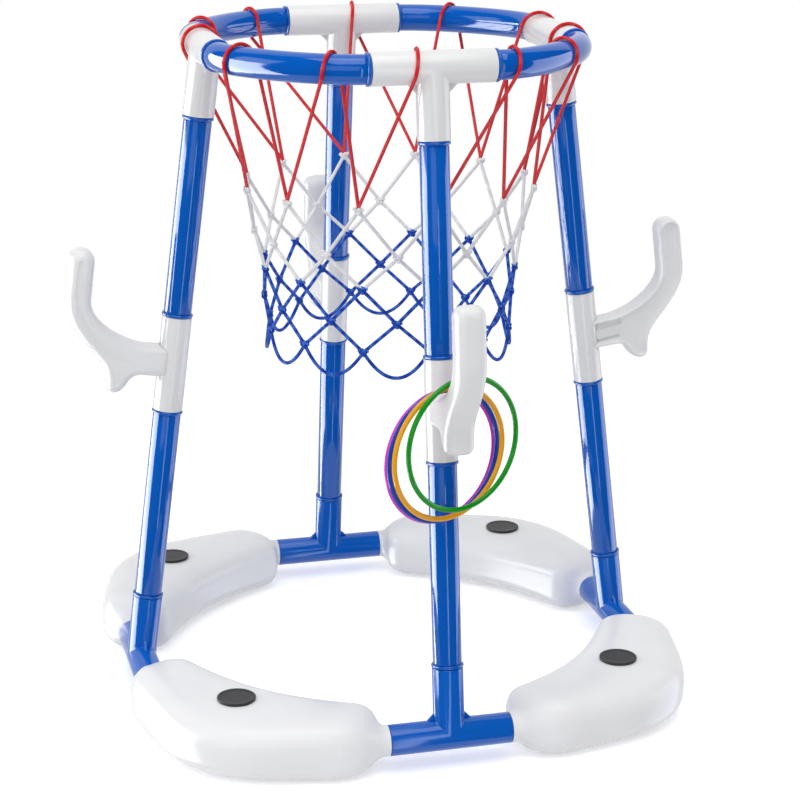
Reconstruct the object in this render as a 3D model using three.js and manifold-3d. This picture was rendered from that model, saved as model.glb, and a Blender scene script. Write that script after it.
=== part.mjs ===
// Poolside basketball hoop: a four-legged stand of plastic tubes on four hollow floats.
// Millimetres, +Z up. The origin is on the ground, in the middle of the four legs.
// The front leg stands towards -Y and the right leg towards +X.

import * as THREE from 'three';
import { mergeVertices } from 'three/addons/utils/BufferGeometryUtils.js';
import Module from 'manifold-3d';

const wasm = await Module();
wasm.setup();

// Driving dimensions

const LEG_COUNT = 4;
const LEG_LENGTH = 588;
const RIM_RADIUS = 165;
const BASE_RADIUS = 240;

const TUBE_DIAMETER = 26;
const TUBE_BORE = 18.8;
const SPIGOT_DIAMETER = 22.4;
const SPIGOT_LENGTH = 20;
const COLLAR_DIAMETER = 29.2;
const COLLAR_LENGTH = 3;
const FIT_GAP = 0.3;

const RIM_TEE = { diameter: 29, arm: 55, stem: 62, gusset: 7.2 };
const BASE_TEE = { diameter: 28, arm: 56, stem: 62.5, gusset: 6.4 };
const GUSSET_THICKNESS = 3;
const GUSSET_ROOT = 3;
const RIM_TUBE_HANDLE = 43;

const SLEEVE_DIAMETER = 27.8;
const SLEEVE_LENGTH = 90;

const HOOK = {
  width: 27,
  edgeRadius: 7,
  lip: 2.1,
  dish: 0.9,
  slotDepth: 22,
  reach: 104.7,
  fingerDepth: 23.7,
  fingerTop: 102.5,
  fingerRoot: 55,
  armTop: 16.5,
  armBottom: -13,
  thumbReach: 61.5,
  thumbDepth: 17,
  thumbDrop: 31,
};
const HOOK_SLOTS = [
  { reach: 36, height: 7.4, middle: 9.6, slopeShare: 0.09 },
  { reach: 33, height: 3.4, middle: -4.6, slopeShare: 0.07 },
];

const FLOAT = {
  height: 56,
  endWidth: 69,
  middleWidth: 111,
  bulge: 27,
  handle: 44,
  neckLength: 8,
  shoulderLength: 16,
  squareShare: 0.55,
  wall: 2.6,
};

const CAP = { diameter: 35, thickness: 2.4, bevel: 0.8, plugDiameter: 22, plugLength: 11, radius: 255.5 };

const CORD_DIAMETER = 3.3;
const KNOT_SIZE = 7;
const NET = { radius: 136.4, hemRadius: 115.5, drop: 129.9, hemDrop: 287.3, aside: 4.8, outwards: 1.2 };
const NET_LOOPS = 12;
const NET_TURN_SHARE = -10.7 / 360;
const NET_ROWS = [
  { inShare: 0, downShare: 0 },
  { inShare: 0.517, downShare: 0.283 },
  { inShare: 0.78, downShare: 0.4765 },
  { inShare: 0.928, downShare: 0.679 },
  { inShare: 1, downShare: 0.851 },
];
const NET_HEM = { inShare: 1, downShare: 1 };

// How far each loop's crossing of the rim is moved, as a share of the step from loop to loop
const LOOP_SHIFT_SHARES = [0.2, 0.17, -0.04, -0.08, -0.11, 0.17, 0.24, 0.42, 0.3, 0.1, 0.42, 0.4];
const LOOP_SLANT = 8;

const TOSS_RING = { diameter: 121, cord: 4.6, turnShare: 22 / 360 };
const TOSS_RINGS = [
  { name: 'toss_ring_green', colour: 0x12a028, roomShare: 0.394, asideShare: 0.22 },
  { name: 'toss_ring_yellow', colour: 0xf0a814, roomShare: 0.308, asideShare: -0.19 },
  { name: 'toss_ring_blue', colour: 0x1e3ca8, roomShare: 0.2, asideShare: -0.3 },
  { name: 'toss_ring_magenta', colour: 0xdc3cc8, roomShare: 0.05, asideShare: -0.32 },
];

// Fineness of the round surfaces

const TUBE_SIDES = 16;
const PIPE_SIDES = 12;
const BORE_SIDES = 8;
const RIM_STEPS = 6;
const WRAP_STEPS = 5;
const HEM_STEPS = 4;
const CURVE_STEPS = 4;
const DISH_STEPS = 3;
const FLOAT_SIDES = 16;
const FLOAT_STEPS = 6;
const CAP_SIDES = 14;
const CAVITY_SIDES = 8;
const CAVITY_STEPS = 6;
const CORD_SIDES = 4;
const RING_SIDES = 5;
const RING_STEPS = 24;
const HALVINGS = 30;
const REST_STEPS = 24;

const MERGE_DISTANCE = 1e-4;
const OVERRUN = 5;

// Worked out from the driving dimensions

const TUBE_RADIUS = TUBE_DIAMETER / 2;
const SPIGOT_RADIUS = SPIGOT_DIAMETER / 2;
const SOCKET_RADIUS = SPIGOT_RADIUS + FIT_GAP;
const COLLAR_RADIUS = COLLAR_DIAMETER / 2;
const CORD_RADIUS = CORD_DIAMETER / 2;
const KNOT_CORNER = KNOT_SIZE / Math.SQRT2;
const BASE_AXIS = FLOAT.height / 2;
const LEAN = Math.asin((BASE_RADIUS - RIM_RADIUS) / LEG_LENGTH);
const LEG_RISE = LEG_LENGTH * Math.cos(LEAN);
const RIM_AXIS = BASE_AXIS + LEG_RISE;
const LEG_MIDDLE = new THREE.Vector3(0, -(RIM_RADIUS + BASE_RADIUS) / 2, BASE_AXIS + LEG_RISE / 2);
const QUARTER = (2 * Math.PI) / LEG_COUNT;
const LEG_NAMES = ['front', 'right', 'back', 'left'];
const BAY_NAMES = ['front_right', 'back_right', 'back_left', 'front_left'];

const PLASTIC = {
  blue: new THREE.MeshStandardMaterial({ color: 0x0b5cc0, roughness: 0.22, metalness: 0 }),
  white: new THREE.MeshStandardMaterial({ color: 0xeeeeee, roughness: 0.3, metalness: 0 }),
  grey: new THREE.MeshStandardMaterial({ color: 0x3c3c3e, roughness: 0.55, metalness: 0 }),
  redCord: new THREE.MeshStandardMaterial({ color: 0xbe141e, roughness: 0.8, metalness: 0 }),
  whiteCord: new THREE.MeshStandardMaterial({ color: 0xe0e0de, roughness: 0.8, metalness: 0 }),
  blueCord: new THREE.MeshStandardMaterial({ color: 0x193cb4, roughness: 0.8, metalness: 0 }),
};

// Solids and meshes

function toSolid(geometry) {
  const bare = geometry.clone();
  bare.deleteAttribute('normal');
  bare.deleteAttribute('uv');
  const merged = mergeVertices(bare, MERGE_DISTANCE);
  const corners = merged.index.array;
  const triangles = [];
  for (let i = 0; i < corners.length; i += 3) {
    const [a, b, c] = [corners[i], corners[i + 1], corners[i + 2]];
    if (a !== b && b !== c && c !== a) triangles.push(a, b, c);
  }
  return new wasm.Manifold(new wasm.Mesh({
    numProp: 3,
    vertProperties: Float32Array.from(merged.attributes.position.array),
    triVerts: Uint32Array.from(triangles),
  }));
}

function toGeometry(solid) {
  const surface = solid.getMesh();
  const geometry = new THREE.BufferGeometry();
  geometry.setAttribute('position', new THREE.BufferAttribute(Float32Array.from(surface.vertProperties), 3));
  geometry.setIndex(new THREE.BufferAttribute(Uint32Array.from(surface.triVerts), 1));
  const flat = geometry.toNonIndexed();
  flat.computeVertexNormals();
  return flat;
}

function joined(solids) {
  return solids.reduce((sum, solid) => sum.add(solid));
}

function piece(name, geometry, material) {
  const mesh = new THREE.Mesh(geometry, material);
  mesh.name = name;
  return mesh;
}

// A closed profile of [radius, height] points, listed upwards along its outside, turned about Z
function turned(profile, sides) {
  const points = [...profile, profile[0]].map(([radius, height]) => new THREE.Vector2(radius, height));
  return new THREE.LatheGeometry(points, sides).rotateX(Math.PI / 2);
}

function rodAlongZ(radius, bottom, top, sides) {
  const rod = new THREE.CylinderGeometry(radius, radius, top - bottom, sides).rotateX(Math.PI / 2);
  return rod.translate(0, 0, (bottom + top) / 2);
}

function rodAlongX(radius, start, end, sides) {
  const rod = new THREE.CylinderGeometry(radius, radius, end - start, sides).rotateZ(Math.PI / 2);
  return rod.translate((start + end) / 2, 0, 0);
}

function roundSection(radius, sides) {
  const corners = [];
  for (let i = 0; i < sides; i++) {
    const turn = (2 * Math.PI * i) / sides;
    corners.push(new THREE.Vector2(radius * Math.cos(turn), radius * Math.sin(turn)));
  }
  return new THREE.Shape(corners);
}

function sweptTube(path, radius, sides, steps) {
  return new THREE.ExtrudeGeometry(roundSection(radius, sides), { steps, extrudePath: path, bevelEnabled: false });
}

// A route of straight stretches, where a tube takes one step from each point to the next
class PointRoute extends THREE.Curve {
  constructor(points) {
    super();
    this.points = points;
  }

  getPoint(share) {
    const place = Math.min(Math.max(share, 0), 1) * (this.points.length - 1);
    const before = Math.min(Math.floor(place), this.points.length - 2);
    return this.points[before].clone().lerp(this.points[before + 1], place - before);
  }

  getUtoTmapping(share) {
    return share;
  }
}

function routedTube(points, radius, sides) {
  return sweptTube(new PointRoute(points), radius, sides, points.length - 1);
}

// Rings of equally many points, joined in order into one closed skin
function lofted(rings) {
  const count = rings[0].length;
  const corners = rings.flat().flatMap((point) => [point.x, point.y, point.z]);
  const triangles = [];
  for (let ring = 0; ring + 1 < rings.length; ring++) {
    for (let i = 0; i < count; i++) {
      const a = ring * count + i;
      const b = ring * count + ((i + 1) % count);
      triangles.push(a, a + count, b, b, a + count, b + count);
    }
  }
  const last = (rings.length - 1) * count;
  for (let i = 1; i + 1 < count; i++) {
    triangles.push(0, i, i + 1);
    triangles.push(last, last + i + 1, last + i);
  }
  const geometry = new THREE.BufferGeometry();
  geometry.setAttribute('position', new THREE.Float32BufferAttribute(corners, 3));
  geometry.setIndex(triangles);
  return geometry;
}

// Tees: two arms along X and a stem along Z, up or down, with a gusset in each inner corner

function teeSolid({ diameter, arm, stem, gusset }, upwards) {
  const radius = diameter / 2;
  const way = upwards ? 1 : -1;
  const [low, high] = upwards ? [0, stem] : [-stem, 0];
  const arms = toSolid(rodAlongX(radius, -arm, arm, TUBE_SIDES));
  const stalk = toSolid(rodAlongZ(radius, low, high, TUBE_SIDES));
  const gussets = [-1, 1].map((side) => {
    const root = radius - GUSSET_ROOT;
    const corner = new THREE.Shape([
      new THREE.Vector2(side * root, way * root),
      new THREE.Vector2(side * (radius + gusset + GUSSET_ROOT), way * root),
      new THREE.Vector2(side * root, way * (radius + gusset + GUSSET_ROOT)),
    ]);
    const plate = new THREE.ExtrudeGeometry(corner, { depth: GUSSET_THICKNESS, bevelEnabled: false });
    return toSolid(plate.translate(0, 0, -GUSSET_THICKNESS / 2).rotateX(Math.PI / 2));
  });
  const armBore = toSolid(rodAlongX(SOCKET_RADIUS, -arm - OVERRUN, arm + OVERRUN, TUBE_SIDES));
  const boreEnd = way * (stem + OVERRUN);
  const stemBore = toSolid(rodAlongZ(SOCKET_RADIUS, Math.min(0, boreEnd), Math.max(0, boreEnd), TUBE_SIDES));
  return joined([arms, stalk, ...gussets]).subtract(armBore).subtract(stemBore);
}

// Leg tubes: a pipe with a collar and a reduced spigot at each end

function legTube(bottom, top) {
  const bore = TUBE_BORE / 2;
  return turned([
    [bore, bottom - SPIGOT_LENGTH],
    [SPIGOT_RADIUS, bottom - SPIGOT_LENGTH],
    [SPIGOT_RADIUS, bottom],
    [COLLAR_RADIUS, bottom],
    [COLLAR_RADIUS, bottom + COLLAR_LENGTH],
    [TUBE_RADIUS, bottom + COLLAR_LENGTH],
    [TUBE_RADIUS, top - COLLAR_LENGTH],
    [COLLAR_RADIUS, top - COLLAR_LENGTH],
    [COLLAR_RADIUS, top],
    [SPIGOT_RADIUS, top],
    [SPIGOT_RADIUS, top + SPIGOT_LENGTH],
    [bore, top + SPIGOT_LENGTH],
  ], PIPE_SIDES);
}

function sleeveGeometry() {
  const radius = SLEEVE_DIAMETER / 2;
  const half = SLEEVE_LENGTH / 2;
  return turned([[SOCKET_RADIUS, -half], [radius, -half], [radius, half], [SOCKET_RADIUS, half]], TUBE_SIDES);
}

// A curve from the end of one leg's tee to the next leg's, both at the same distance from the middle
function bayCurve(axisRadius, start, handle) {
  return new THREE.CubicBezierCurve3(
    new THREE.Vector3(start, -axisRadius, 0),
    new THREE.Vector3(start + handle, -axisRadius, 0),
    new THREE.Vector3(axisRadius, -start - handle, 0),
    new THREE.Vector3(axisRadius, -start, 0),
  );
}

// One upright ring of a loft, from corners given as distances outwards and up
function ringAcross(centre, outwards, corners) {
  return corners.map(([across, up]) => centre.clone().addScaledVector(outwards, across)
    .add(new THREE.Vector3(0, 0, up)));
}

function circle(radius, sides) {
  return Array.from({ length: sides }, (_, i) => {
    const turn = (2 * Math.PI * (i + 0.5)) / sides;
    return [radius * Math.cos(turn), radius * Math.sin(turn)];
  });
}

// Round ends of a bay's loft, from [radius, distance] steps along the axis of the tee's arm
function loftEnds(axisRadius, steps, sides) {
  const near = steps.map(([radius, distance]) => ringAcross(
    new THREE.Vector3(distance, -axisRadius, 0), new THREE.Vector3(0, -1, 0), circle(radius, sides),
  ));
  const far = steps.map(([radius, distance]) => ringAcross(
    new THREE.Vector3(axisRadius, -distance, 0), new THREE.Vector3(1, 0, 0), circle(radius, sides),
  ));
  return [near, far.reverse()];
}

// Rim tubes: curved pipes from one tee to the next, in the plane of the rim

function rimCurve() {
  return bayCurve(RIM_RADIUS, RIM_TEE.arm + FIT_GAP, RIM_TUBE_HANDLE);
}

function rimTubeSkin(endSteps, radius, sides) {
  const curve = rimCurve();
  const [near, far] = loftEnds(RIM_RADIUS, endSteps, sides);
  const between = [];
  for (let i = 1; i < RIM_STEPS; i++) {
    const heading = curve.getTangentAt(i / RIM_STEPS);
    const outwards = new THREE.Vector3(heading.y, -heading.x, 0);
    between.push(ringAcross(curve.getPointAt(i / RIM_STEPS), outwards, circle(radius, sides)));
  }
  return toSolid(lofted([...near, ...between, ...far]));
}

function rimTubeGeometry() {
  const start = RIM_TEE.arm + FIT_GAP;
  const bore = TUBE_BORE / 2;
  const skin = rimTubeSkin([
    [SPIGOT_RADIUS, start - SPIGOT_LENGTH],
    [SPIGOT_RADIUS, start],
    [COLLAR_RADIUS, start],
    [COLLAR_RADIUS, start + COLLAR_LENGTH],
    [TUBE_RADIUS, start + COLLAR_LENGTH],
  ], TUBE_RADIUS, PIPE_SIDES);
  const hollow = rimTubeSkin([
    [bore, start - SPIGOT_LENGTH - OVERRUN],
    [bore, start],
  ], bore, BORE_SIDES);
  return toGeometry(skin.subtract(hollow));
}

// Hooks: moulded arms with a smooth side (+X) and a dished one, hollowed by two slots at the root.
// The outline is drawn with x outwards from the leg and y up along it.

function hookOutline(inset) {
  const { reach, fingerDepth, fingerTop, fingerRoot, armTop, armBottom, thumbReach, thumbDepth, thumbDrop } = HOOK;
  const fingerRadius = fingerDepth / 2 - inset;
  const fingerMiddle = reach - fingerDepth / 2;
  const fingerIn = reach - fingerDepth + inset;
  const fingerOut = reach - inset;
  const thumbRadius = thumbDepth / 2 - inset;
  const thumbMiddle = thumbReach - thumbDepth / 2;
  const thumbEnd = thumbDepth / 2 - thumbDrop;
  const top = armTop - inset;
  const bottom = armBottom + inset;
  const outline = new THREE.Shape();
  outline.moveTo(0, bottom);
  outline.lineTo(thumbMiddle - thumbDepth + inset / 2, bottom);
  outline.quadraticCurveTo(thumbMiddle - thumbRadius, bottom, thumbMiddle - thumbRadius, thumbEnd);
  outline.absarc(thumbMiddle, thumbEnd, thumbRadius, Math.PI, 0, false);
  outline.lineTo(thumbMiddle + thumbRadius, (thumbEnd + bottom) / 2);
  outline.bezierCurveTo(
    thumbReach + fingerDepth / 2 - inset, -bottom, fingerOut, fingerDepth, fingerOut, fingerRoot,
  );
  outline.lineTo(fingerOut, fingerTop - fingerDepth / 2);
  outline.absarc(fingerMiddle, fingerTop - fingerDepth / 2, fingerRadius, 0, Math.PI, false);
  outline.lineTo(fingerIn, fingerRoot);
  outline.bezierCurveTo(
    fingerIn, fingerRoot - fingerDepth - inset, thumbReach, top + thumbDepth / 3,
    SLEEVE_DIAMETER + inset, top,
  );
  outline.lineTo(0, top);
  return outline;
}

function hookGeometry() {
  const half = HOOK.width / 2;
  const edge = HOOK.edgeRadius;
  const blank = new THREE.ExtrudeGeometry(hookOutline(0), {
    depth: HOOK.width,
    curveSegments: CURVE_STEPS,
    bevelThickness: edge,
    bevelSize: edge,
    bevelOffset: -edge,
    bevelSegments: 2,
  });
  const dish = new THREE.ExtrudeGeometry(hookOutline(HOOK.lip), {
    depth: HOOK.width,
    curveSegments: DISH_STEPS,
    bevelEnabled: false,
  });
  const outwards = new THREE.Matrix4().makeBasis(
    new THREE.Vector3(0, -1, 0), new THREE.Vector3(0, 0, 1), new THREE.Vector3(-1, 0, 0),
  );
  blank.applyMatrix4(outwards).translate(half - edge, 0, 0);
  dish.applyMatrix4(outwards).translate(HOOK.dish - half, 0, 0);
  const trim = new THREE.BoxGeometry(HOOK.width, 2 * HOOK.reach, 2 * HOOK.fingerTop + edge);
  trim.translate(-half - HOOK.width / 2, -HOOK.reach / 2, 0);
  const seat = rodAlongZ(SLEEVE_DIAMETER / 2 + FIT_GAP, -SLEEVE_LENGTH, SLEEVE_LENGTH, TUBE_SIDES);
  const slots = HOOK_SLOTS.map(({ reach, height, middle, slopeShare }) => {
    const slot = new THREE.BoxGeometry(2 * HOOK.slotDepth, reach, height).rotateX(-Math.atan(slopeShare));
    return toSolid(slot.translate(-half, -reach / 2, middle));
  });
  const hollow = joined([toSolid(dish), toSolid(seat), ...slots]);
  return toGeometry(toSolid(blank).subtract(toSolid(trim)).subtract(hollow));
}

// Floats: hollow boomerang bodies, lofted along a curve from one base tee to the next

function floatRings(inset, shoulderShares, steps, sides) {
  const spine = bayCurve(BASE_RADIUS, BASE_TEE.arm + FIT_GAP, FLOAT.handle);
  const length = spine.getLength();
  const neckShare = (FLOAT.neckLength + inset) / length;
  const shoulderShare = (FLOAT.shoulderLength - inset) / length;
  const bodyStart = neckShare + shoulderShare;
  const shoulder = shoulderShares.map((fullness) => ({
    along: neckShare + shoulderShare * (1 - Math.sqrt(1 - fullness * fullness)),
    fullness,
  }));
  const middle = Array.from({ length: steps - 1 }, (_, i) => ({
    along: bodyStart + ((1 - 2 * bodyStart) * (i + 1)) / steps,
    fullness: 1,
  }));
  const farShoulder = shoulder.map(({ along, fullness }) => ({ along: 1 - along, fullness })).reverse();
  return [...shoulder, ...middle, ...farShoulder].map(
    (station) => floatRing(spine, station, inset, sides),
  );
}

// One section: a circle at the neck, swelling to a flat-bottomed superellipse in the body
function floatRing(spine, { along, fullness }, inset, sides) {
  const heading = spine.getTangentAt(along);
  const outwards = new THREE.Vector3(heading.y, -heading.x, 0);
  const swell = Math.sin(Math.PI * along) ** 2;
  const neckRadius = BASE_TEE.diameter / 2;
  const halfWidth = (FLOAT.endWidth + (FLOAT.middleWidth - FLOAT.endWidth) * swell) / 2 - inset;
  const halfHeight = FLOAT.height / 2 - inset;
  const width = neckRadius + (halfWidth - neckRadius) * fullness;
  const height = neckRadius + (halfHeight - neckRadius) * fullness;
  const powerShare = 1 / (1 + FLOAT.squareShare * fullness);
  const centre = spine.getPointAt(along).addScaledVector(outwards, FLOAT.bulge * swell * fullness);
  const bent = (value) => Math.sign(value) * Math.abs(value) ** powerShare;
  const topShare = bent(Math.cos(Math.PI / sides));
  const corners = circle(1, sides).map(([across, up]) => [width * bent(across), (height * bent(up)) / topShare]);
  return ringAcross(centre, outwards, corners);
}

function floatGeometry() {
  const tip = BASE_TEE.arm + FIT_GAP;
  const [near, far] = loftEnds(BASE_RADIUS, [
    [SPIGOT_RADIUS, tip - SPIGOT_LENGTH],
    [SPIGOT_RADIUS, tip],
    [BASE_TEE.diameter / 2, tip],
  ], FLOAT_SIDES);
  const skin = lofted([...near, ...floatRings(0, [0, 0.4, 0.78, 1], FLOAT_STEPS, FLOAT_SIDES), ...far]);
  const cavity = lofted(floatRings(FLOAT.wall, [0.62, 1], CAVITY_STEPS, CAVITY_SIDES));
  const fillHole = rodAlongZ(CAP.plugDiameter / 2 + FIT_GAP, 0, FLOAT.height, CAP_SIDES);
  fillHole.translate(...capPlace());
  return toGeometry(toSolid(skin).subtract(toSolid(cavity)).subtract(toSolid(fillHole)));
}

function capPlace() {
  return [CAP.radius * Math.cos(QUARTER / 2), -CAP.radius * Math.sin(QUARTER / 2), 0];
}

// Fill caps: a round plug with a flat flange that lies on the float

function capGeometry() {
  const seat = FLOAT.height / 2 + FIT_GAP;
  const flange = CAP.diameter / 2;
  const plug = CAP.plugDiameter / 2;
  const top = seat + CAP.thickness;
  const cap = turned([
    [0, seat - CAP.plugLength],
    [plug, seat - CAP.plugLength],
    [plug, seat],
    [flange, seat],
    [flange, top - CAP.bevel],
    [flange - CAP.bevel, top],
    [0, top],
  ], CAP_SIDES);
  return cap.translate(...capPlace());
}

// Net: cord loops over the rim, then rows of knots joined by crossing cords

function netPoint({ inShare, downShare }, step) {
  const turn = 2 * Math.PI * (step / NET_LOOPS + NET_TURN_SHARE) - Math.PI / 2;
  const radius = NET.radius + (NET.hemRadius - NET.radius) * inShare;
  return new THREE.Vector3(
    radius * Math.cos(turn) + NET.aside,
    radius * Math.sin(turn) - NET.outwards,
    RIM_AXIS - NET.drop - (NET.hemDrop - NET.drop) * downShare,
  );
}

function strand(from, to, clearFrom, clearTo) {
  const heading = to.clone().sub(from).normalize();
  const start = from.clone().addScaledVector(heading, clearFrom);
  const end = to.clone().addScaledVector(heading, -clearTo);
  return toSolid(sweptTube(new THREE.LineCurve3(start, end), CORD_RADIUS, CORD_SIDES, 1));
}

// A knot is a small block on its corner, so that each cord leaves through a face of its own
function knot(row, step) {
  const block = new THREE.BoxGeometry(KNOT_SIZE, KNOT_SIZE, KNOT_SIZE).rotateY(Math.PI / 4);
  const centre = netPoint(row, step);
  block.rotateZ(Math.atan2(centre.x, -centre.y));
  return toSolid(block.translate(centre.x, centre.y, centre.z));
}

// The share of a curve at which a value that grows along it passes the wanted one
function shareWhere(value, wanted) {
  let [low, high] = [0, 1];
  for (let i = 0; i < HALVINGS; i++) {
    const middle = (low + high) / 2;
    if (value(middle) < wanted) low = middle;
    else high = middle;
  }
  return low;
}

// Where the loop numbered step crosses the rim: its centre, outward direction and core radius.
// A bay runs from the middle of one tee to the middle of the next.
function rimCrossing(step) {
  const turn = 2 * Math.PI * (step / NET_LOOPS + NET_TURN_SHARE);
  const bay = Math.floor(turn / QUARTER);
  const local = turn - bay * QUARTER;
  const along = RIM_RADIUS * Math.tan(local);
  const alongNext = RIM_RADIUS * Math.tan(QUARTER - local);
  const upright = new THREE.Vector3(0, 0, 1);
  const crossing = { core: RIM_TEE.diameter / 2 };
  if (along < RIM_TEE.arm) {
    crossing.centre = new THREE.Vector3(along, -RIM_RADIUS, 0);
    crossing.outwards = new THREE.Vector3(0, -1, 0);
  } else if (alongNext < RIM_TEE.arm) {
    crossing.centre = new THREE.Vector3(RIM_RADIUS, -alongNext, 0);
    crossing.outwards = new THREE.Vector3(1, 0, 0);
  } else {
    const curve = rimCurve();
    const bearing = (share) => Math.atan2(curve.getPoint(share).x, -curve.getPoint(share).y);
    const place = shareWhere(bearing, local);
    const heading = curve.getTangent(place);
    crossing.centre = curve.getPoint(place);
    crossing.outwards = new THREE.Vector3(heading.y, -heading.x, 0);
    crossing.core = TUBE_RADIUS;
  }
  crossing.centre.applyAxisAngle(upright, bay * QUARTER).setZ(RIM_AXIS);
  crossing.outwards.applyAxisAngle(upright, bay * QUARTER);
  return crossing;
}

// The cord comes up outside the rim from one knot, goes over it on a slant and down inside to the next
function rimLoop(step) {
  const { centre, outwards, core } = rimCrossing(step + LOOP_SHIFT_SHARES[step]);
  const along = new THREE.Vector3(-outwards.y, outwards.x, 0);
  const halfStep = Math.PI / (2 * WRAP_STEPS);
  const radius = (core + FIT_GAP + CORD_RADIUS) / Math.cos(halfStep);
  const apex = (share) => netPoint(NET_ROWS[0], step + share)
    .add(new THREE.Vector3(0, 0, KNOT_CORNER + CORD_RADIUS / 2 + FIT_GAP));
  const leave = (target, side) => {
    const offset = target.clone().sub(centre);
    const inwards = offset.dot(outwards);
    return Math.atan2(offset.z, inwards) + side * Math.acos(radius / Math.hypot(inwards, offset.z));
  };
  const [outerKnot, innerKnot] = [apex(-0.5), apex(0.5)];
  const outerTurn = leave(outerKnot, 1);
  const innerTurn = leave(innerKnot, -1) + 2 * Math.PI;
  const onLoop = (turn) => centre.clone()
    .addScaledVector(outwards, radius * Math.cos(turn))
    .addScaledVector(along, LOOP_SLANT * (turn / Math.PI - 1 / 2))
    .add(new THREE.Vector3(0, 0, radius * Math.sin(turn)));
  const wrap = [];
  for (let i = 0; i <= WRAP_STEPS; i++) {
    wrap.push(onLoop(outerTurn + ((innerTurn - outerTurn) * i) / WRAP_STEPS));
  }
  return toSolid(routedTube([outerKnot, ...wrap, innerKnot], CORD_RADIUS, CORD_SIDES));
}

function netParts() {
  const steps = Array.from({ length: NET_LOOPS }, (_, i) => i);
  const stop = (KNOT_SIZE + CORD_RADIUS) / 2;
  const [row1, row2, row3, row4, row5] = NET_ROWS;
  const cross = (upper, lower, upperShare, clear) => steps.flatMap((i) => [-0.5, 0.5].map(
    (side) => strand(netPoint(upper, i + upperShare), netPoint(lower, i + upperShare + side), 0, clear),
  ));
  const knots = (row, share) => steps.map((i) => knot(row, i + share));
  const hem = steps.map((i) => {
    const low = { inShare: NET_HEM.inShare, downShare: (NET_HEM.downShare * 3 + row5.downShare) / 4 };
    const curve = new THREE.CatmullRomCurve3([
      netPoint(row5, i - 0.5), netPoint(low, i - 0.25), netPoint(NET_HEM, i),
      netPoint(low, i + 0.25), netPoint(row5, i + 0.5),
    ]);
    return toSolid(sweptTube(curve, CORD_RADIUS, CORD_SIDES, HEM_STEPS));
  });
  return {
    net_red: joined(steps.map((i) => rimLoop(i))),
    net_white: joined([
      ...knots(row1, 0.5), ...knots(row2, 0),
      ...cross(row1, row2, 0.5, 0), ...cross(row2, row3, 0, stop),
    ]),
    net_blue: joined([
      ...knots(row3, 0.5), ...knots(row4, 0), ...knots(row5, 0.5),
      ...cross(row3, row4, 0.5, 0), ...cross(row4, row5, 0, 0), ...hem,
    ]),
  };
}

// Toss rings: thin plastic rings that hang over the arm of the front hook

// The top of the arm as [outwards, up] corners, seen square to the upright plane of its leg
function armTop() {
  const fingerIn = HOOK.reach - HOOK.fingerDepth;
  const bend = new THREE.CubicBezierCurve(
    new THREE.Vector2(SLEEVE_DIAMETER, HOOK.armTop),
    new THREE.Vector2(HOOK.thumbReach, HOOK.armTop + HOOK.thumbDepth / 3),
    new THREE.Vector2(fingerIn, HOOK.fingerRoot - HOOK.fingerDepth),
    new THREE.Vector2(fingerIn, HOOK.fingerRoot),
  );
  const corners = [new THREE.Vector2(SLEEVE_DIAMETER / 2, HOOK.armTop), ...bend.getPoints(CURVE_STEPS)];
  return corners.map((corner) => corner.rotateAround(new THREE.Vector2(), LEAN));
}

// The height at which the middle of a ring comes to rest on the arm, from clearing it all along the cord
function restingHeight(reach, aside) {
  const corners = armTop();
  const turn = 2 * Math.PI * TOSS_RING.turnShare;
  const middleRadius = ((TOSS_RING.diameter - TOSS_RING.cord) / 2) * Math.cos(Math.PI / RING_STEPS);
  const heights = [];
  for (let i = 0; i <= REST_STEPS; i++) {
    const across = HOOK.width * (i / REST_STEPS - 1 / 2);
    const along = (across - aside) / Math.cos(turn);
    const out = reach - along * Math.sin(turn);
    const rise = Math.sqrt(middleRadius ** 2 - along ** 2);
    const rounding = Math.max(0, across - HOOK.width / 2 + HOOK.edgeRadius);
    const lowered = HOOK.edgeRadius - Math.sqrt(HOOK.edgeRadius ** 2 - rounding ** 2);
    for (let k = 1; k < corners.length; k++) {
      const side = corners[k].clone().sub(corners[k - 1]);
      const slope = side.y / side.x;
      const clearance = (TOSS_RING.cord / 2 + FIT_GAP) * Math.hypot(1, slope, along / rise);
      heights.push(corners[k - 1].y + slope * (out - corners[k - 1].x) - lowered + clearance - rise);
    }
  }
  return Math.max(...heights);
}

function tossRing({ name, colour, roomShare, asideShare }) {
  const { diameter, cord, turnShare } = TOSS_RING;
  const nearest = (COLLAR_RADIUS + diameter * Math.sin(LEAN)) / Math.cos(LEAN);
  const farthest = (HOOK.reach - HOOK.fingerDepth) * Math.cos(LEAN) - HOOK.armTop * Math.sin(LEAN);
  const reach = nearest + (farthest - nearest) * roomShare;
  const aside = HOOK.width * asideShare;
  const ring = new THREE.TorusGeometry((diameter - cord) / 2, cord / 2, RING_SIDES, RING_STEPS).rotateX(Math.PI / 2);
  const finish = new THREE.MeshStandardMaterial({ color: colour, roughness: 0.35, metalness: 0 });
  const mesh = piece(name, ring, finish);
  mesh.position.set(aside, LEG_MIDDLE.y - reach, LEG_MIDDLE.z + restingHeight(reach, aside));
  mesh.rotation.z = 2 * Math.PI * turnShare;
  return mesh;
}

// Assembly

const hoop = new THREE.Group();
const halfLeg = LEG_LENGTH / 2;
const upperTop = halfLeg - RIM_TEE.stem - FIT_GAP;
const lowerBottom = -halfLeg + BASE_TEE.stem + FIT_GAP;
const sleeveEnd = SLEEVE_LENGTH / 2 + FIT_GAP;

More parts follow.
